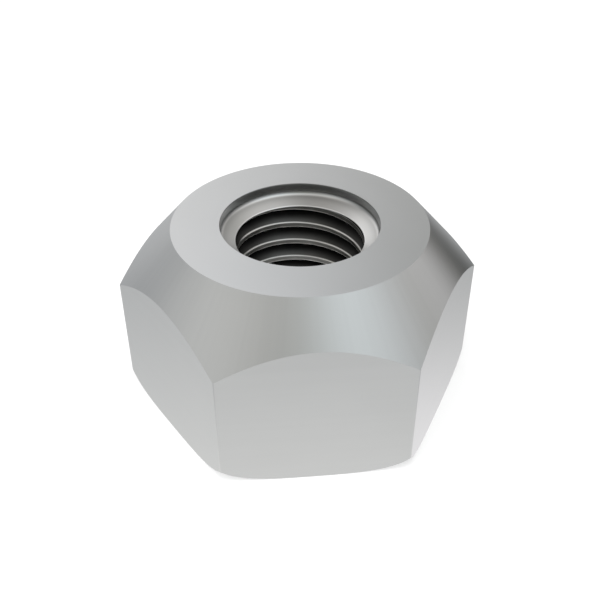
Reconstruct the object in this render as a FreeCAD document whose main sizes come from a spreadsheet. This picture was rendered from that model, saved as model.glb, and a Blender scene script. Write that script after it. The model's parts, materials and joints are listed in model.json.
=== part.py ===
# Hexagon nut with a conical seat: one solid, millimetres.
# The base face lies on z = 0, the thread axis is Z, two flats face -Y and +Y, two corners lie on X.

import FreeCAD, Part
import Sketcher
import math
import os
from FreeCAD import Vector

doc = FreeCAD.newDocument("ConicalSeatNut")

# Driving dimensions, lengths in millimetres and angles in degrees
drivingSizes = {
    "acrossFlats": 30.0,  # between opposite flats, the spanner size
    "nutHeight": 18.0,  # base face to top face
    "topDiameter": 24.0,  # flat top face, where the seat begins
    "seatAngle": 83.0,  # included angle of the conical seat
    "baseInset": 0.3,  # rim of the base face inside the flats
    "cornerLift": 1.5,  # lower ends of the corners above the base
    "boreDiameter": 12.1,  # minor diameter of the M14 x 2 thread
    "recessDiameter": 15.0,  # round recess in the top face
    "recessDepth": 1.1,  # top face to the foot of the recess wall
    "recessFillet": 0.5,  # between the recess wall and the upper lead-in cone
    "upperLeadAngle": 130.0,  # included angle of the lead-in cone below the recess
    "baseLeadAngle": 120.0,  # included angle of the lead-in cone at the base face
    "baseLeadDiameter": 15.1,  # the same cone where it meets the base face
}

# Sizes that follow from the driving dimensions
derivedSizes = {
    "flatRadius": "=acrossFlats / 2",
    "cornerRadius": "=acrossFlats / sqrt(3)",
    "topRadius": "=topDiameter / 2",
    # The seat's cone continued down to the base plane, which it meets outside the hexagon
    "seatFootRadius": "=topRadius + nutHeight * tan(seatAngle / 2)",
    # The lower edge is an arc that leaves the base face without a kink and meets the corners at cornerLift
    "baseRimRadius": "=flatRadius - baseInset",
    "cornerReach": "=cornerRadius - baseRimRadius",
    "edgeArcRadius": "=(cornerReach ^ 2 + cornerLift ^ 2) / (2 * cornerLift)",
    "edgeOuterRadius": "=baseRimRadius + edgeArcRadius",
    "boreRadius": "=boreDiameter / 2",
    "recessRadius": "=recessDiameter / 2",
    "recessFootLevel": "=nutHeight - recessDepth",
    "boreTopLevel": "=recessFootLevel - (recessRadius - boreRadius) / tan(upperLeadAngle / 2)",
    "baseLeadRadius": "=baseLeadDiameter / 2",
    "boreFootLevel": "=(baseLeadRadius - boreRadius) / tan(baseLeadAngle / 2)",
}

sheet = doc.addObject("Spreadsheet::Sheet", "Sizes")
for row, (alias, content) in enumerate({**drivingSizes, **derivedSizes}.items(), start=1):
    sheet.set(f"A{row}", alias)
    sheet.set(f"B{row}", str(content))
    sheet.setAlias(f"B{row}", alias)
doc.recompute()

nut = doc.addObject("PartDesign::Body", "Nut")
nut.Label = "nut"
nut.Placement = FreeCAD.Placement()


def size(alias):
    return float(sheet.get(alias))


def sketchOn(planeRole, name):
    plane = next(item for item in nut.Origin.OriginFeatures if item.Role == planeRole)
    sketch = nut.newObject("Sketcher::SketchObject", name)
    sketch.AttachmentSupport = [(plane, "")]
    sketch.MapMode = "FlatFace"
    return sketch


def constrain(sketch, kind, *references):
    return sketch.addConstraint(Sketcher.Constraint(kind, *references))


# A dimension that stays bound to its cell of the sheet
def dimension(sketch, kind, references, alias):
    index = constrain(sketch, kind, *references, size(alias))
    sketch.setExpression(f"Constraints[{index}]", f"Sizes.{alias}")


# The corners of a half section are (radius alias, level alias); None is the axis or the base plane
def cornerPoint(radiusAlias, levelAlias):
    radius = size(radiusAlias) if radiusAlias else 0
    level = size(levelAlias) if levelAlias else 0
    return Vector(radius, level, 0)


def tieCorner(sketch, edge, edgeEnd, radiusAlias, levelAlias):
    if radiusAlias:
        dimension(sketch, "DistanceX", (-1, 1, edge, edgeEnd), radiusAlias)
    else:
        constrain(sketch, "PointOnObject", edge, edgeEnd, -2)
    if levelAlias:
        dimension(sketch, "DistanceY", (-1, 1, edge, edgeEnd), levelAlias)
    else:
        constrain(sketch, "PointOnObject", edge, edgeEnd, -1)


# Straight lines from corner to corner, each tied to its sizes at its start
def addLines(sketch, corners):
    lines = []
    for start, end in zip(corners, corners[1:]):
        line = sketch.addGeometry(Part.LineSegment(cornerPoint(*start), cornerPoint(*end)))
        tieCorner(sketch, line, 1, *start)
        if lines:
            constrain(sketch, "Coincident", lines[-1], 2, line, 1)
        lines.append(line)
    return lines


def closedSection(name, corners):
    sketch = sketchOn("XZ_Plane", name)
    lines = addLines(sketch, corners + corners[:1])
    constrain(sketch, "Coincident", lines[-1], 2, lines[0], 1)
    return sketch


# Turns a half section once round the axis and takes it out of the nut
def turnOut(name, sketch):
    volumeBefore = nut.Shape.Volume
    groove = nut.newObject("PartDesign::Groove", name)
    groove.Profile = (sketch, [""])
    groove.ReferenceAxis = (sketch, ["V_Axis"])
    groove.Angle = 360
    sketch.Visibility = False
    doc.recompute()
    if not nut.Shape.Volume < volumeBefore:
        raise RuntimeError(f"{name} took nothing away")
    return groove


# Hexagon blank, its corners on a construction circle and its front flat level
hexagonSketch = sketchOn("XY_Plane", "HexagonSketch")
cornerCircle = hexagonSketch.addGeometry(
    Part.Circle(Vector(0, 0, 0), Vector(0, 0, 1), size("cornerRadius")), True
)
constrain(hexagonSketch, "Coincident", cornerCircle, 3, -1, 1)
hexagonCorners = [
    FreeCAD.Rotation(Vector(0, 0, 1), 60 * index).multVec(Vector(size("cornerRadius"), 0, 0))
    for index in range(6)
]
flats = [
    hexagonSketch.addGeometry(Part.LineSegment(hexagonCorners[index - 1], hexagonCorners[index]))
    for index in range(6)
]
for previousFlat, flat in zip(flats[-1:] + flats[:-1], flats):
    constrain(hexagonSketch, "Coincident", previousFlat, 2, flat, 1)
    constrain(hexagonSketch, "PointOnObject", flat, 1, cornerCircle)
for flat in flats[1:]:
    constrain(hexagonSketch, "Equal", flats[0], flat)
frontFlat = flats[-1]
constrain(hexagonSketch, "Horizontal", frontFlat)
dimension(hexagonSketch, "Distance", (-1, 1, frontFlat), "flatRadius")

hexagonBlank = nut.newObject("PartDesign::Pad", "HexagonBlank")
hexagonBlank.Profile = (hexagonSketch, [""])
hexagonBlank.setExpression("Length", "Sizes.nutHeight")
hexagonSketch.Visibility = False
doc.recompute()

# Conical seat
seatSketch = closedSection(
    "SeatSketch",
    [("topRadius", "nutHeight"), ("seatFootRadius", None), ("seatFootRadius", "nutHeight")],
)
turnOut("ConicalSeat", seatSketch)

# Rounded lower edge: what lies outside an arc that starts along the base face
lowerEdgeSketch = sketchOn("XZ_Plane", "LowerEdgeSketch")
lowerEdgeCorners = [
    ("edgeOuterRadius", "edgeArcRadius"),
    ("acrossFlats", "edgeArcRadius"),
    ("acrossFlats", None),
    ("baseRimRadius", None),
]
lowerEdgeLines = addLines(lowerEdgeSketch, lowerEdgeCorners)
tieCorner(lowerEdgeSketch, lowerEdgeLines[-1], 2, *lowerEdgeCorners[-1])
arcCentre = cornerPoint("baseRimRadius", "edgeArcRadius")
arcCircle = Part.Circle(arcCentre, Vector(0, 0, 1), size("edgeArcRadius"))
lowerEdgeArc = lowerEdgeSketch.addGeometry(Part.ArcOfCircle(arcCircle, math.radians(-90), 0))
constrain(lowerEdgeSketch, "Tangent", lowerEdgeArc, 1, lowerEdgeLines[-1], 2)
constrain(lowerEdgeSketch, "Coincident", lowerEdgeArc, 2, lowerEdgeLines[0], 1)
turnOut("LowerEdge", lowerEdgeSketch)

# Through hole: lead-in cone, bore at the thread's minor diameter, lead-in cone and recess
holeSketch = closedSection(
    "HoleSketch",
    [
        (None, None),
        ("baseLeadRadius", None),
        ("boreRadius", "boreFootLevel"),
        ("boreRadius", "boreTopLevel"),
        ("recessRadius", "recessFootLevel"),
        ("recessRadius", "nutHeight"),
        (None, "nutHeight"),
    ],
)
hole = turnOut("Hole", holeSketch)


# Concave fillet round the foot of the recess wall
def isRecessFoot(edge):
    lowest, highest = edge.BoundBox.ZMin, edge.BoundBox.ZMax
    level = size("recessFootLevel")
    return math.isclose(lowest, level, abs_tol=1e-5) and math.isclose(highest, level, abs_tol=1e-5)


recessFoot = [
    f"Edge{number}" for number, edge in enumerate(hole.Shape.Edges, start=1) if isRecessFoot(edge)
]
recessFilletFeature = nut.newObject("PartDesign::Fillet", "RecessFillet")
recessFilletFeature.Base = (hole, recessFoot)
recessFilletFeature.setExpression("Radius", "Sizes.recessFillet")
hole.Visibility = False
doc.recompute()

for item in doc.Objects:
    if "Invalid" in item.State or "Error" in item.State:
        raise RuntimeError(f"{item.Name} is {item.State}")
if nut.Shape.isNull() or not nut.Shape.isValid() or len(nut.Shape.Solids) != 1:
    raise RuntimeError("the nut is not one valid solid")

os.makedirs("parts", exist_ok=True)
nut.Shape.exportStep(f"parts/{nut.Label}.step")
box = nut.Shape.optimalBoundingBox()
print(f"{nut.Label}: {box.XLength:.3f} x {box.YLength:.3f} x {box.ZLength:.3f} mm, {nut.Shape.Volume:.1f} mm3")
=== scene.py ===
import json
import math

import bpy
from mathutils import Matrix, Vector


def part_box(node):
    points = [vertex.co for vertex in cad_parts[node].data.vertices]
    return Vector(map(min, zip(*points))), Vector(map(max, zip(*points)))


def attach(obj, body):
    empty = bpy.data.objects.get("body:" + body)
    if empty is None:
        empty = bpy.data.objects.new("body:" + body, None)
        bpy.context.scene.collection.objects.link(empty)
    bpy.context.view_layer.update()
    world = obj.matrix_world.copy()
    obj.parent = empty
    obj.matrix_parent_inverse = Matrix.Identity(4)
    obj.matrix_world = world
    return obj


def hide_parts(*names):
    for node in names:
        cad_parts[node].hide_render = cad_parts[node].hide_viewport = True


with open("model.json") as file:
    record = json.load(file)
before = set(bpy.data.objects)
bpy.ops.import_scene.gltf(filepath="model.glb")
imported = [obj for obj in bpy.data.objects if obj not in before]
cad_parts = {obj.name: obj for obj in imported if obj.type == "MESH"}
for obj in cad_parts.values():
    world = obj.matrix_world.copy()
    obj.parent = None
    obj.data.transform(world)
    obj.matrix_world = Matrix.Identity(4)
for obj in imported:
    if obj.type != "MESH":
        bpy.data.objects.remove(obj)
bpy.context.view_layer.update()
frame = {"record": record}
print("frame loaded")

mm = 0.001
mergeDistance = 0.001 * mm
cutTolerance = 0.0001 * mm
nearby = 0.01 * mm  # what is nearer to a radius than this lies on it

# Camera of the photograph, looking at the middle of the nut from above its front flat
photoView = {
    "azimuth": -5.63,  # degrees, towards -X
    "elevation": 36.06,
    "distance": 82.7 * mm,
    "lens": 50.0,
    "sensor": 36.0,
    "nearest": mm,
    "farthest": 10.0,
}

threadMount = next(mount for mount in frame["record"]["mounts"] if mount["name"] == "thread")
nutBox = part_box("nut")

nut = {
    "flatRadius": nutBox[1].y,  # axis to a flat
    "height": nutBox[1].z,
    "topRadius": 12.0 * mm,
    "seatHalfAngle": 41.5,  # degrees between the axis and the seat
    "baseRimRadius": 14.7 * mm,  # the rounded lower edge starts here
    "cornerLift": 1.5 * mm,  # and meets the corners at this height
    "boreRadius": threadMount["dims"]["r_mm"] * mm,
    "recessRadius": 7.5 * mm,
    "recessDepth": 1.1 * mm,  # to the foot of its wall
    "recessFillet": 0.5 * mm,
    "boreEdgeRadius": 0.11 * mm,  # the rounding where the upper lead-in cone meets the bore
    "upperLeadAngle": 65.0,  # degrees between the axis and the lead-in cone below the recess
    "baseLeadAngle": 60.0,  # the same at the base
    "baseLeadRadius": 7.55 * mm,
    "cornerBreak": 0.08 * mm,  # the rounding of the six upright corners
    "cornerBreakSegments": 4,
    "edgeBreak": 0.045 * mm,  # the finer rounding of every other sharp edge
    "edgeBreakSegments": 2,
    "sharpAngle": 24.0,  # degrees between two faces from which their edge is rounded
    "smoothAngle": 32.0,  # and up to which they shade as one
    "boreWallNormal": 0.1,  # the normal of a face in the bore points up by less than this
    "steps": 192,  # round the axis
    "lowerEdgeSteps": 24,
    "recessFilletSteps": 8,
    "boreEdgeSteps": 5,
}
cornerRadius = nut["flatRadius"] / math.cos(math.radians(30))

thread = {
    "pitch": 2.0 * mm,
    "majorRadius": 7.1 * mm,
    "mouthWidth": 1.5 * mm,  # of the groove at the bore
    "flankAngle": 30.0,  # degrees from square to the axis
    "rootShare": 0.55,  # of the root's width that stays flat
    "lipWidth": 0.08 * mm,  # the small rounding of both crest edges
    "lipBulge": 0.3,  # its middle, in lip widths out and up from the crest's edge
    "cutterReach": 4.0,  # lip widths that the cutter starts inside the bore
    "cutterFlare": 1.6,  # lip widths that it is wider there, above and below
    "crestDepth": 1.95 * mm,  # first crest below the top face, at the far side in the photograph
    "endAngle": 228.0,  # degrees from X where the groove has run out, under the lead-in cone
    "runOut": 85.0,  # degrees over which it grows shallow
    "runOutMargin": 0.05 * mm,  # how far inside the bore it ends
}


def deselectAll():
    if bpy.context.object and bpy.context.object.mode != "OBJECT":
        bpy.ops.object.mode_set(mode="OBJECT")
    bpy.ops.object.select_all(action="DESELECT")


def applyModifier(piece, kind, **settings):
    modifier = piece.modifiers.new(kind.title(), kind)
    for key, value in settings.items():
        setattr(modifier, key, value)
    bpy.context.view_layer.objects.active = piece
    bpy.ops.object.modifier_apply(modifier=modifier.name)


# A closed outline in the XZ plane, drawn from one vertex by extruding it from corner to corner
def drawOutline(name, corners):
    deselectAll()
    bpy.ops.mesh.primitive_plane_add(size=mm, location=(0, 0, 0))
    outline = bpy.context.object
    outline.name = name
    bpy.ops.object.mode_set(mode="EDIT")
    bpy.ops.mesh.merge(type="CENTER")
    points = [Vector((radius, 0, level)) for radius, level in corners]
    bpy.ops.transform.translate(value=points[0])
    for start, end in zip(points, points[1:] + points[:1]):
        bpy.ops.mesh.extrude_region_move(TRANSFORM_OT_translate={"value": end - start})
    bpy.ops.mesh.select_all(action="SELECT")
    bpy.ops.mesh.remove_doubles(threshold=mergeDistance)
    return outline


def arcPoints(centreRadius, centreLevel, arcRadius, startAngle, endAngle, steps):
    points = []
    for step in range(steps + 1):
        angle = math.radians(startAngle + (endAngle - startAngle) * step / steps)
        radius = centreRadius + arcRadius * math.cos(angle)
        points.append((radius, centreLevel + arcRadius * math.sin(angle)))
    return points


# Half section of the turned blank, with its hole still plain
def blankCorners():
    # The lower edge's arc leaves the base face without a kink and meets the corners
    cornerReach = cornerRadius - nut["baseRimRadius"]
    lowerEdgeRadius = (cornerReach**2 + nut["cornerLift"] ** 2) / (2 * nut["cornerLift"])
    lowerEdge = arcPoints(
        nut["baseRimRadius"], lowerEdgeRadius, lowerEdgeRadius, -90, 0, nut["lowerEdgeSteps"]
    )
    # The bar that is turned is wider than the hexagon, and the seat goes out to it
    seatSlope = 1 / math.tan(math.radians(nut["seatHalfAngle"]))
    barRadius = nut["baseRimRadius"] + lowerEdgeRadius
    barTop = nut["height"] - (barRadius - nut["topRadius"]) * seatSlope
    # The fillet touches the upright recess wall and the lead-in cone
    upperLead, baseLead = math.radians(nut["upperLeadAngle"]), math.radians(nut["baseLeadAngle"])
    recessFoot = nut["height"] - nut["recessDepth"]
    filletLift = nut["recessFillet"] / math.tan(math.pi / 2 - upperLead / 2)
    fillet = arcPoints(
        nut["recessRadius"] - nut["recessFillet"],
        recessFoot + filletLift,
        nut["recessFillet"],
        0,
        -nut["upperLeadAngle"],
        nut["recessFilletSteps"],
    )
    # The bore edge's rounding touches that cone and the bore wall
    boreTop = recessFoot - (nut["recessRadius"] - nut["boreRadius"]) / math.tan(upperLead)
    boreFoot = (nut["baseLeadRadius"] - nut["boreRadius"]) / math.tan(baseLead)
    edgeDrop = nut["boreEdgeRadius"] * math.tan(upperLead / 2)
    boreEdge = arcPoints(
        nut["boreRadius"] + nut["boreEdgeRadius"],
        boreTop - edgeDrop,
        nut["boreEdgeRadius"],
        180 - nut["upperLeadAngle"],
        180,
        nut["boreEdgeSteps"],
    )
    return (
        [(nut["boreRadius"], boreFoot), (nut["baseLeadRadius"], 0)]
        + lowerEdge
        + [(barRadius, barTop)]
        + [(nut["topRadius"], nut["height"]), (nut["recessRadius"], nut["height"])]
        + fillet
        + boreEdge
    )


def makeBlank():
    blank = drawOutline("nutBody", blankCorners())
    bpy.ops.mesh.spin(
        steps=nut["steps"],
        angle=math.radians(360),
        center=(0, 0, 0),
        axis=(0, 0, 1),
        use_auto_merge=True,
    )
    bpy.ops.mesh.select_all(action="SELECT")
    bpy.ops.mesh.remove_doubles(threshold=mergeDistance)
    for side in range(6):
        outward = Matrix.Rotation(math.radians(60 * side - 90), 3, "Z") @ Vector((1, 0, 0))
        bpy.ops.mesh.select_all(action="SELECT")
        bpy.ops.mesh.bisect(
            plane_co=outward * nut["flatRadius"],
            plane_no=outward,
            use_fill=True,
            clear_outer=True,
            threshold=cutTolerance,
        )
    bpy.ops.mesh.select_all(action="SELECT")
    bpy.ops.mesh.normals_make_consistent(inside=False)
    print("turned blank with its six flats")
    return blank


# The upright corners first, then every other sharp edge
def roundEdges(blank):
    bpy.ops.mesh.select_all(action="DESELECT")
    bpy.ops.object.mode_set(mode="OBJECT")
    vertices = blank.data.vertices
    for edge in blank.data.edges:
        start, end = [vertices[index].co for index in edge.vertices]
        atCorner = min(start.xy.length, end.xy.length) > cornerRadius - nearby
        edge.select = atCorner and abs(start.z - end.z) > mm
    bpy.ops.object.mode_set(mode="EDIT")
    bpy.ops.mesh.select_mode(type="EDGE")
    bpy.ops.mesh.bevel(
        offset=nut["cornerBreak"], segments=nut["cornerBreakSegments"], affect="EDGES"
    )
    bpy.ops.mesh.select_mode(type="VERT")
    bpy.ops.object.mode_set(mode="OBJECT")
    applyModifier(
        blank,
        "BEVEL",
        width=nut["edgeBreak"],
        segments=nut["edgeBreakSegments"],
        limit_method="ANGLE",
        angle_limit=math.radians(nut["sharpAngle"]),
        use_clamp_overlap=True,
    )
    print("edges rounded")


# One section of the groove and its lips, from the bore's inside out and back
def grooveCorners():
    flankRun = math.tan(math.radians(thread["flankAngle"]))
    halfMouth = thread["mouthWidth"] / 2
    halfRoot = halfMouth - (thread["majorRadius"] - nut["boreRadius"]) * flankRun
    lip = thread["lipWidth"]
    bulge = thread["lipBulge"] * lip
    flare = thread["cutterFlare"] * lip
    upperHalf = [
        (nut["boreRadius"] - thread["cutterReach"] * lip, halfMouth + flare),
        (nut["boreRadius"] - lip, halfMouth + flare),
        (nut["boreRadius"] + bulge, halfMouth + bulge),
        (nut["boreRadius"] + lip, halfMouth - lip * flankRun),
        (thread["majorRadius"] - lip, halfRoot + lip * flankRun),
        (thread["majorRadius"], halfRoot * thread["rootShare"]),
    ]
    return upperHalf + [(radius, -level) for radius, level in reversed(upperHalf)]


# Helical cutter: the section carried up and round, its upper end drawn in towards the axis
def makeGrooveCutter():
    backAngle = 90 + photoView["azimuth"]
    backLevel = nut["height"] - thread["crestDepth"] - thread["pitch"] / 2
    endLevel = backLevel + thread["pitch"] * (thread["endAngle"] - backAngle) / 360
    turns = math.ceil(endLevel / thread["pitch"]) + 1
    startLevel = endLevel - turns * thread["pitch"]
    corners = [(radius, level + startLevel) for radius, level in grooveCorners()]
    cutter = drawOutline("grooveCutter", corners)
    bpy.ops.object.mode_set(mode="OBJECT")
    applyModifier(
        cutter,
        "SCREW",
        axis="Z",
        angle=math.radians(360),
        screw_offset=thread["pitch"],
        iterations=turns,
        steps=nut["steps"],
        render_steps=nut["steps"],
    )
    # The groove ends on X until it is turned, and a point lies so many degrees behind its end
    fullDepth = thread["majorRadius"] - nut["boreRadius"] + thread["runOutMargin"]
    for vertex in cutter.data.vertices:
        behind = round(-math.degrees(math.atan2(vertex.co.y, vertex.co.x)), 3) % 360
        centreLevel = endLevel - thread["pitch"] * behind / 360
        if behind < thread["runOut"] and abs(vertex.co.z - centreLevel) < thread["pitch"] / 2:
            # A smooth step, from the bore's inside at the end to full depth
            share = 1 - behind / thread["runOut"]
            drawnIn = fullDepth * share**2 * (3 - 2 * share)
            vertex.co.xy *= 1 - drawnIn / vertex.co.xy.length
    bpy.ops.object.mode_set(mode="EDIT")
    bpy.ops.mesh.select_all(action="SELECT")
    bpy.ops.mesh.fill_holes(sides=0)
    bpy.ops.mesh.select_all(action="SELECT")
    bpy.ops.mesh.normals_make_consistent(inside=False)
    # With no window, rotate turns the other way
    endTurn = -math.radians(thread["endAngle"])
    bpy.ops.transform.rotate(value=endTurn, orient_axis="Z", center_override=(0, 0, 0))
    bpy.ops.object.mode_set(mode="OBJECT")
    return cutter


# Both shapes carry both finishes, the satin steel first and the thread's second
def makeNut(finishes):
    body = makeBlank()
    roundEdges(body)
    cutter = makeGrooveCutter()
    for finish in finishes:
        body.data.materials.append(finish)
        cutter.data.materials.append(finish)
    for face in cutter.data.polygons:
        face.material_index = 1
    for face in body.data.polygons:
        inBore = face.center.xy.length < nut["boreRadius"] + nearby
        upright = abs(face.normal.z) < nut["boreWallNormal"]
        if inBore and upright:
            face.material_index = 1
    applyModifier(body, "BOOLEAN", operation="DIFFERENCE", solver="EXACT", object=cutter)
    bpy.data.objects.remove(cutter)
    deselectAll()
    body.select_set(True)
    bpy.context.view_layer.objects.active = body
    bpy.ops.object.shade_smooth_by_angle(angle=math.radians(nut["smoothAngle"]))
    applyModifier(body, "WEIGHTED_NORMAL", mode="FACE_AREA", weight=100, keep_sharp=True)
    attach(body, "root")
    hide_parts("nut")
    print("thread cut, faces:", len(body.data.polygons))


steel = {
    "color": 0.62,
    "roughness": 0.29,
    "toneChange": 0.01,  # slow unevenness over the surface, up and down
    "roughnessChange": 0.005,
    "changesPerMetre": 160.0,
    "ringsPerMetre": 3500.0,  # fine turning rings
    "ringSlope": 0.6,  # of the level that counts as radius, so that upright walls have them too
    "streakFineness": 28.0,  # streaks along the seat, the more the finer
    "streakDepth": 0.01,
    "grainPerMetre": 1100.0,  # level grain on the flats
    "grainDepth": 0.005,
    "grainWander": 0.03 * mm,
    "reliefHeight": 0.002 * mm,
    "reliefStrength": 0.5,
    "flatNormal": 0.2,  # the normal of a flat points up or down by less than this
    "seatNormal": 0.6,  # and that of the seat by about this
    "seatNormalRange": 0.3,
    "recessReach": 7.6 * mm,  # from the axis to just behind the recess wall
}

# Painted shade and painted highlights of the recess, as tones at depths below the top face in mm
recessPaintedLight = {
    0.0: 1.0,
    0.06: 0.95,
    0.14: 0.52,
    0.35: 0.58,
    0.65: 0.95,
    0.75: 1.2,
    0.83: 1.1,
    0.92: 0.62,
    1.0: 0.75,
    1.08: 0.98,
    1.15: 1.2,
    1.21: 1.0,
    1.28: 0.72,
    1.5: 0.93,
    1.72: 1.02,
    1.75: 1.45,
}
# The same at its two sides, painted lighter on the upper wall and darker towards its foot
recessSidePaintedLight = {
    0.0: 1.0,
    0.1: 1.0,
    0.18: 1.45,
    0.5: 1.45,
    0.68: 1.3,
    0.8: 0.8,
    0.9: 0.55,
    1.1: 0.55,
    1.2: 0.65,
    1.5: 0.93,
    1.72: 1.0,
    1.75: 1.2,
}
# Share of the painted side light and shade where the wall lies so far to the side, 0 at the front
# and 1 on X
paintedSideLightShares = {0.5: 0.0, 0.7: 0.45, 0.87: 1.0, 0.95: 0.8, 1.0: 0.3}

threadSteel = {
    "dustScale": 900.0,  # per metre
    "dustTones": (0.92, 1.08),
    "roughness": (0.38, 0.46),
    "edgeTint": (0.5, 0.5, 0.5, 1),
    "greenShare": 0.985,
    "blueShare": 0.96,
    # The side tones are painted highlights and painted shade
    "sidesFrom": 0.3,  # how far to the side the side tones begin
    "sidesFull": 0.65,  # and hold alone
}

# Painted light of the thread through one pitch, upwards from the middle of a crest: a painted
# highlight on its upper lip, painted shade on the lower flank, the root and the upper flank, and a
# painted highlight on the lower lip of the next crest
threadPaintedLight = {
    0.0: 0.34,
    0.09: 0.36,
    0.12: 0.75,
    0.135: 0.7,
    0.16: 0.12,
    0.3: 0.06,
    0.45: 0.02,
    0.8: 0.02,
    0.86: 0.9,
    0.92: 0.8,
    0.94: 0.36,
    1.0: 0.34,
}
# The same at the two sides of the bore, with brighter painted highlights on the crests and darker
# painted shade in the flanks
threadSidePaintedLight = {
    0.0: 0.36,
    0.09: 0.38,
    0.12: 0.85,
    0.135: 0.85,
    0.165: 0.07,
    0.3: 0.025,
    0.45: 0.01,
    0.8: 0.01,
    0.86: 0.95,
    0.92: 0.85,
    0.94: 0.38,
    1.0: 0.36,
}


# Adds a shader node; each input is a plain value or another node's output
def addNode(tree, kind, inputs, output=0, **settings):
    node = tree.nodes.new("ShaderNode" + kind)
    for key, value in settings.items():
        setattr(node, key, value)
    for key, value in inputs.items():
        if isinstance(value, bpy.types.NodeSocket):
            tree.links.new(value, node.inputs[key])
        else:
            node.inputs[key].default_value = value
    return node.outputs[output]


def addNumber(tree, operation, *inputs):
    return addNode(tree, "Math", dict(enumerate(inputs)), operation=operation)


def addVector(tree, operation, *inputs, output="Vector"):
    return addNode(tree, "VectorMath", dict(enumerate(inputs)), output, operation=operation)


def addDot(tree, first, second):
    return addVector(tree, "DOT_PRODUCT", first, second, output="Value")


def addRange(tree, value, fromMin, fromMax, toMin, toMax):
    limits = {"From Min": fromMin, "From Max": fromMax, "To Min": toMin, "To Max": toMax}
    return addNode(tree, "MapRange", {"Value": value, **limits})


# Noise along a line or through space
def addNoise(tree, place, scale, detail=1.0, dimensions="3D"):
    along = "W" if dimensions == "1D" else "Vector"
    inputs = {along: place, "Scale": scale, "Detail": detail}
    return addNode(tree, "TexNoise", inputs, noise_dimensions=dimensions)


noiseRange = (0.3, 0.7)  # where nearly all values of a noise lie


def spreadNoise(tree, noise, lowest, highest):
    return addRange(tree, noise, *noiseRange, lowest, highest)


# A tone from a table of places and tones: a grey ramp whose brightest tone is 1, scaled back up
def addTones(tree, value, tones):
    places = sorted(tones)
    brightest = max(tones.values())
    along = addRange(tree, value, places[0], places[-1], 0.0, 1.0)
    ramp = addNode(tree, "ValToRGB", {"Fac": along})
    elements = ramp.node.color_ramp.elements
    for place in places[1:-1]:
        elements.new((place - places[0]) / (places[-1] - places[0]))
    for element, place in zip(elements, places):
        element.color = (tones[place] / brightest,) * 3 + (1,)
    return addNumber(tree, "MULTIPLY", ramp, brightest)


# Two tables' tones, mixed by the share that the second one has
def addMixedTones(tree, value, tones, sideTones, sideLightShare):
    tone = addTones(tree, value, tones)
    change = addNumber(tree, "SUBTRACT", addTones(tree, value, sideTones), tone)
    return addNumber(tree, "ADD", tone, addNumber(tree, "MULTIPLY", sideLightShare, change))


def startSteel(name):
    material = bpy.data.materials.new(name)
    material.use_nodes = True
    tree = material.node_tree
    shader = tree.nodes["Principled BSDF"]
    shader.inputs["Metallic"].default_value = 1.0
    place = addNode(tree, "TexCoord", {}, output="Object")
    parts = addNode(tree, "SeparateXYZ", {"Vector": place}).node.outputs
    fromAxis = addVector(tree, "MULTIPLY", place, (1, 1, 0))
    return material, tree, shader, place, parts, fromAxis


# How far the direction away from the axis points to the two sides rather than to the front or back
def addSideways(tree, outward):
    return addNumber(tree, "ABSOLUTE", addDot(tree, outward, (1, 0, 0)))


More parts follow.
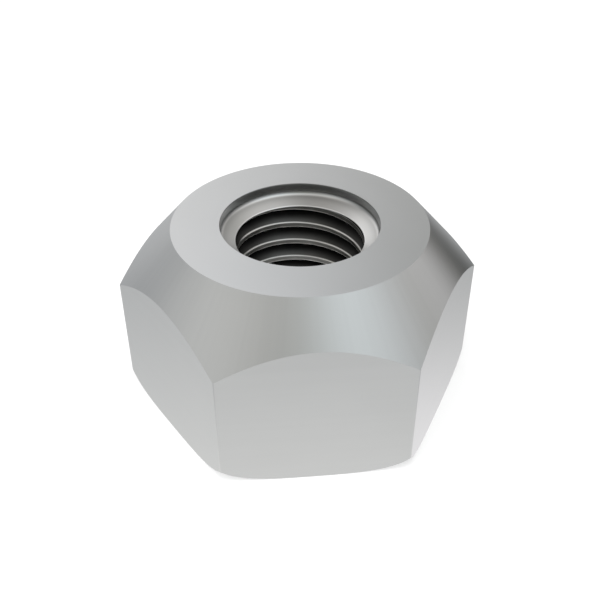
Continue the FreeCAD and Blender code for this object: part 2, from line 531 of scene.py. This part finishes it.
# Bright satin steel: turning rings, streaks along the seat and level grain on the flats
def makeSatinSteel():
    material, tree, shader, place, parts, fromAxis = startSteel("satinSteel")
    level = parts["Z"]
    radius = addVector(tree, "LENGTH", fromAxis, output="Value")
    outward = addVector(tree, "NORMALIZE", fromAxis)
    faceNormal = addNode(tree, "TexCoord", {}, output="Normal")
    upward = addNumber(tree, "ABSOLUTE", addDot(tree, faceNormal, (0, 0, 1)))

    outside = addNumber(tree, "GREATER_THAN", radius, nut["topRadius"])
    likeFlat = addNumber(tree, "LESS_THAN", upward, steel["flatNormal"])
    likeSeat = addNumber(tree, "COMPARE", upward, steel["seatNormal"], steel["seatNormalRange"])
    onFlat = addNumber(tree, "MULTIPLY", likeFlat, outside)
    onSeat = addNumber(tree, "MULTIPLY", likeSeat, outside)
    onTurned = addNumber(tree, "SUBTRACT", 1.0, onFlat)
    withinWall = addNumber(tree, "LESS_THAN", radius, steel["recessReach"])
    nearTop = addNumber(tree, "GREATER_THAN", level, nut["height"] / 2)
    inRecess = addNumber(tree, "MULTIPLY", withinWall, nearTop)

    cloud = addNoise(tree, place, steel["changesPerMetre"])
    slope = addNumber(tree, "MULTIPLY", level, steel["ringSlope"])
    ringPlace = addNumber(tree, "SUBTRACT", radius, slope)
    rings = addNoise(tree, ringPlace, steel["ringsPerMetre"], dimensions="1D")
    streaks = addNoise(tree, outward, steel["streakFineness"])
    wander = spreadNoise(tree, cloud, -steel["grainWander"], steel["grainWander"])
    grainPlace = addNumber(tree, "ADD", level, wander)
    grain = addNoise(tree, grainPlace, steel["grainPerMetre"], dimensions="1D")

    streakTone = spreadNoise(tree, streaks, -steel["streakDepth"], steel["streakDepth"])
    grainTone = spreadNoise(tree, grain, -steel["grainDepth"], steel["grainDepth"])
    seatMark = addNumber(tree, "MULTIPLY", onSeat, streakTone)
    flatMark = addNumber(tree, "MULTIPLY", onFlat, grainTone)
    marks = addNumber(tree, "ADD", seatMark, flatMark)
    slow = spreadNoise(tree, cloud, -steel["toneChange"], steel["toneChange"])
    shading = addNumber(tree, "ADD", addNumber(tree, "ADD", marks, slow), 1.0)

    # Painted shade and painted highlights in the recess, as tones by depth and by side
    depth = addNumber(tree, "DIVIDE", addNumber(tree, "SUBTRACT", nut["height"], level), mm)
    sideLightShare = addTones(tree, addSideways(tree, outward), paintedSideLightShares)
    paintedRecessTone = addMixedTones(tree, depth, recessPaintedLight, recessSidePaintedLight, sideLightShare)
    paintedRecessChange = addNumber(tree, "SUBTRACT", paintedRecessTone, 1.0)
    recessShade = addNumber(tree, "ADD", addNumber(tree, "MULTIPLY", inRecess, paintedRecessChange), 1.0)
    tone = addNumber(tree, "MULTIPLY", shading, recessShade)
    tone = addNumber(tree, "MULTIPLY", tone, steel["color"])
    color = addNode(tree, "CombineColor", {"Red": tone, "Green": tone, "Blue": tone})
    tree.links.new(color, shader.inputs["Base Color"])

    smoothest = steel["roughness"] - steel["roughnessChange"]
    roughest = steel["roughness"] + steel["roughnessChange"]
    roughness = spreadNoise(tree, cloud, smoothest, roughest)
    tree.links.new(roughness, shader.inputs["Roughness"])
    ringRelief = addNumber(tree, "MULTIPLY", onTurned, rings)
    grainRelief = addNumber(tree, "MULTIPLY", onFlat, grain)
    relief = addNumber(tree, "ADD", ringRelief, grainRelief)
    bumpInputs = {"Strength": steel["reliefStrength"], "Distance": steel["reliefHeight"]}
    bump = addNode(tree, "Bump", {"Height": relief, **bumpInputs})
    tree.links.new(bump, shader.inputs["Normal"])
    return material


# The thread is darker towards its root in painted shade, with painted highlights on its crest edges
# and a random dust tone
def makeThreadSteel():
    material, tree, shader, place, parts, fromAxis = startSteel("threadSteel")
    # The place in a pitch, from the level of the crest on X and the part of a turn from there
    crestTurn = (90 + photoView["azimuth"]) / 360
    crestLevel = nut["height"] - thread["crestDepth"] - thread["pitch"] * crestTurn
    angle = addNumber(tree, "ARCTAN2", parts["Y"], parts["X"])
    turned = addNumber(tree, "DIVIDE", angle, math.tau)
    rise = addNumber(tree, "SUBTRACT", parts["Z"], crestLevel)
    climbed = addNumber(tree, "DIVIDE", rise, thread["pitch"])
    phase = addNumber(tree, "FRACT", addNumber(tree, "SUBTRACT", climbed, turned))

    # Painted highlights on the crest edges and painted shade in the grooves, stronger at the two
    # sides of the bore
    sideways = addSideways(tree, addVector(tree, "NORMALIZE", fromAxis))
    sides = threadSteel["sidesFrom"], threadSteel["sidesFull"]
    sideLightShare = addRange(tree, sideways, *sides, 0.0, 1.0)
    paintedThreadTone = addMixedTones(tree, phase, threadPaintedLight, threadSidePaintedLight, sideLightShare)
    dust = addNoise(tree, place, threadSteel["dustScale"], detail=2.0)
    dustTone = spreadNoise(tree, dust, *threadSteel["dustTones"])
    red = addNumber(tree, "MULTIPLY", paintedThreadTone, dustTone)
    green = addNumber(tree, "MULTIPLY", red, threadSteel["greenShare"])
    blue = addNumber(tree, "MULTIPLY", red, threadSteel["blueShare"])
    color = addNode(tree, "CombineColor", {"Red": red, "Green": green, "Blue": blue})
    tree.links.new(color, shader.inputs["Base Color"])
    roughness = spreadNoise(tree, dust, *threadSteel["roughness"])
    tree.links.new(roughness, shader.inputs["Roughness"])
    shader.inputs["Specular Tint"].default_value = threadSteel["edgeTint"]
    return material


makeNut([makeSatinSteel(), makeThreadSteel()])


# Directions are given as the camera's are: azimuth 0 looks along +Y, elevation is above the horizon
def directionTo(azimuth, elevation):
    a, e = math.radians(azimuth), math.radians(elevation)
    return Vector((math.sin(a) * math.cos(e), -math.cos(a) * math.cos(e), math.sin(e)))


studio = {
    "wall": (0.356, 0.373, 0.390),  # the plain surroundings at eye level
    "ceilingGain": (0.291, 0.276, 0.248),  # added straight up, taken off straight down
    "groundGlow": (1.479, 1.441, 1.349),  # the pale ground, stronger towards straight down
    "darkest": (0.04, 0.04, 0.04),
    # Soft panels: azimuth, elevation and spread in degrees, and the light that each adds; dark
    # flags take light away
    "panels": {
        "coolPanelFront": (38.9, 46.5, 25.7, (0.422, 0.490, 0.511)),
        "widePanelLeft": (-72.7, 35.1, 42.8, (0.357, 0.360, 0.343)),
        "lowPanelBack": (-160.9, 11.5, 20.3, (0.695, 0.682, 0.654)),
        "darkFlagRight": (130.6, -7.8, 19.6, (-0.551, -0.550, -0.562)),
        "darkFlagAbove": (-89.1, 67.7, 30.9, (-0.394, -0.409, -0.416)),
        "softFlagBack": (155.3, 40.3, 21.6, (-0.803, -0.770, -0.767)),
        "groundPanelRight": (140.8, -46.1, 7.0, (0.461, 0.422, 0.469)),
        "brightPanelBack": (-178.8, 43.2, 13.7, (0.547, 0.578, 0.640)),
        "softFlagFront": (82.9, 13.2, 9.9, (-0.227, -0.233, -0.274)),
        "highPanelBack": (-143.3, 37.8, 12.9, (0.487, 0.474, 0.455)),
        "narrowFlagAbove": (-179.2, 73.4, 8.0, (-0.721, -0.717, -0.693)),
        "widePanelRight": (139.5, 32.6, 43.4, (0.575, 0.538, 0.508)),
        "lowFlagFront": (-9.9, 16.5, 23.6, (-0.284, -0.296, -0.346)),
    },
}

floor = {
    "size": 2.0,
    "color": (0.9, 0.9, 0.9, 1),
    # Share of plain white that the camera sees near the nut and far off, in metres; the rest
    # takes the shadow
    "whiteShares": (0.6, 1.0),
    "whiteFrom": 0.12,
    "whiteAt": 0.45,
    "openRadius": 7.5 * mm,  # under the hole, which is lit through the floor
}

skyLamp = {
    "azimuth": -30,
    "elevation": 62,
    "distance": 0.45,
    "size": 0.45,
    "power": 3.0,  # watts
}


def makeWorld():
    world = bpy.data.worlds.new("studio")
    bpy.context.scene.world = world
    world.use_nodes = True
    tree = world.node_tree

    def scaled(color, amount):
        return addNode(tree, "VectorMath", {0: color, "Scale": amount}, operation="SCALE")

    heading = addNode(tree, "TexCoord", {}, output="Generated")
    upward = addDot(tree, heading, (0, 0, 1))
    downward = addNumber(tree, "ABSOLUTE", addNumber(tree, "MINIMUM", upward, 0.0))
    groundShare = addNumber(tree, "POWER", downward, 2.0)
    light = addVector(tree, "ADD", scaled(studio["ceilingGain"], upward), studio["wall"])
    light = addVector(tree, "ADD", light, scaled(studio["groundGlow"], groundShare))
    for azimuth, elevation, spread, color in studio["panels"].values():
        facing = addDot(tree, heading, directionTo(azimuth, elevation))
        offset = addNumber(tree, "SUBTRACT", facing, 1.0)
        fall = addNumber(tree, "DIVIDE", offset, 1 - math.cos(math.radians(spread)))
        light = addVector(tree, "ADD", light, scaled(color, addNumber(tree, "EXPONENT", fall)))
    light = addVector(tree, "MAXIMUM", light, studio["darkest"])
    background = tree.nodes["Background"]
    tree.links.new(light, background.inputs["Color"])
    # The camera sees plain white instead
    plain = addNode(tree, "Background", {"Color": (1, 1, 1, 1)})
    seen = addNode(tree, "LightPath", {}, output="Is Camera Ray")
    surfaces = {0: seen, 1: background.outputs["Background"], 2: plain}
    surface = addNode(tree, "MixShader", surfaces)
    tree.links.new(surface, tree.nodes["World Output"].inputs["Surface"])


def makeFloor():
    deselectAll()
    bpy.ops.mesh.primitive_plane_add(size=floor["size"], location=(0, 0, 0))
    plane = bpy.context.object
    plane.name = "floor"
    material = bpy.data.materials.new("paleFloor")
    material.use_nodes = True
    tree = material.node_tree
    tree.nodes.remove(tree.nodes["Principled BSDF"])
    lightPath = addNode(tree, "LightPath", {}).node.outputs
    paint = addNode(tree, "BsdfDiffuse", {"Color": floor["color"]})
    white = addNode(tree, "Emission", {"Color": (1, 1, 1, 1)})
    place = addNode(tree, "TexCoord", {}, output="Object")
    reach = addVector(tree, "LENGTH", place, output="Value")
    whiteReach = floor["whiteFrom"], floor["whiteAt"]
    whiteShare = addRange(tree, reach, *whiteReach, *floor["whiteShares"])
    seen = addNumber(tree, "MULTIPLY", lightPath["Is Camera Ray"], whiteShare)
    surface = addNode(tree, "MixShader", {0: seen, 1: paint, 2: white})
    # Metal mirrors the plain studio through the floor, and the studio lights it from there, but
    # not where the nut stands
    beyondFlats = 0.0
    for side in range(3):
        offset = addDot(tree, place, directionTo(60 * side, 0))
        beyondFlats = addNumber(tree, "MAXIMUM", beyondFlats, addNumber(tree, "ABSOLUTE", offset))
    withinFlats = addNumber(tree, "LESS_THAN", beyondFlats, nut["flatRadius"])
    besideHole = addNumber(tree, "GREATER_THAN", reach, floor["openRadius"])
    covered = addNumber(tree, "MULTIPLY", withinFlats, besideHole)
    mirrored = addNumber(tree, "MAXIMUM", lightPath["Is Glossy Ray"], lightPath["Is Shadow Ray"])
    through = addNumber(tree, "MULTIPLY", mirrored, addNumber(tree, "SUBTRACT", 1.0, covered))
    clear = addNode(tree, "BsdfTransparent", {})
    surface = addNode(tree, "MixShader", {0: through, 1: surface, 2: clear})
    tree.links.new(surface, tree.nodes["Material Output"].inputs["Surface"])
    plane.data.materials.append(material)


def makeSkyLamp():
    back = directionTo(skyLamp["azimuth"], skyLamp["elevation"])
    deselectAll()
    bpy.ops.object.light_add(type="AREA", location=back * skyLamp["distance"])
    lamp = bpy.context.object
    lamp.name = "skyLamp"
    lamp.data.size = skyLamp["size"]
    lamp.data.energy = skyLamp["power"]
    lamp.visible_glossy = False
    lamp.rotation_euler = (-back).to_track_quat("-Z", "Y").to_euler()


makeWorld()
makeFloor()
makeSkyLamp()
print("studio ready")


def makeCamera():
    back = directionTo(photoView["azimuth"], photoView["elevation"])
    target = Vector((0, 0, nut["height"] / 2))
    deselectAll()
    bpy.ops.object.camera_add(location=target + back * photoView["distance"])
    camera = bpy.context.object
    camera.rotation_euler = (-back).to_track_quat("-Z", "Y").to_euler()
    camera.data.lens = photoView["lens"]
    camera.data.sensor_width = photoView["sensor"]
    camera.data.clip_start = photoView["nearest"]
    camera.data.clip_end = photoView["farthest"]
    bpy.context.scene.camera = camera


makeCamera()
bpy.context.scene.view_settings.view_transform = "Standard"
print("camera in place")
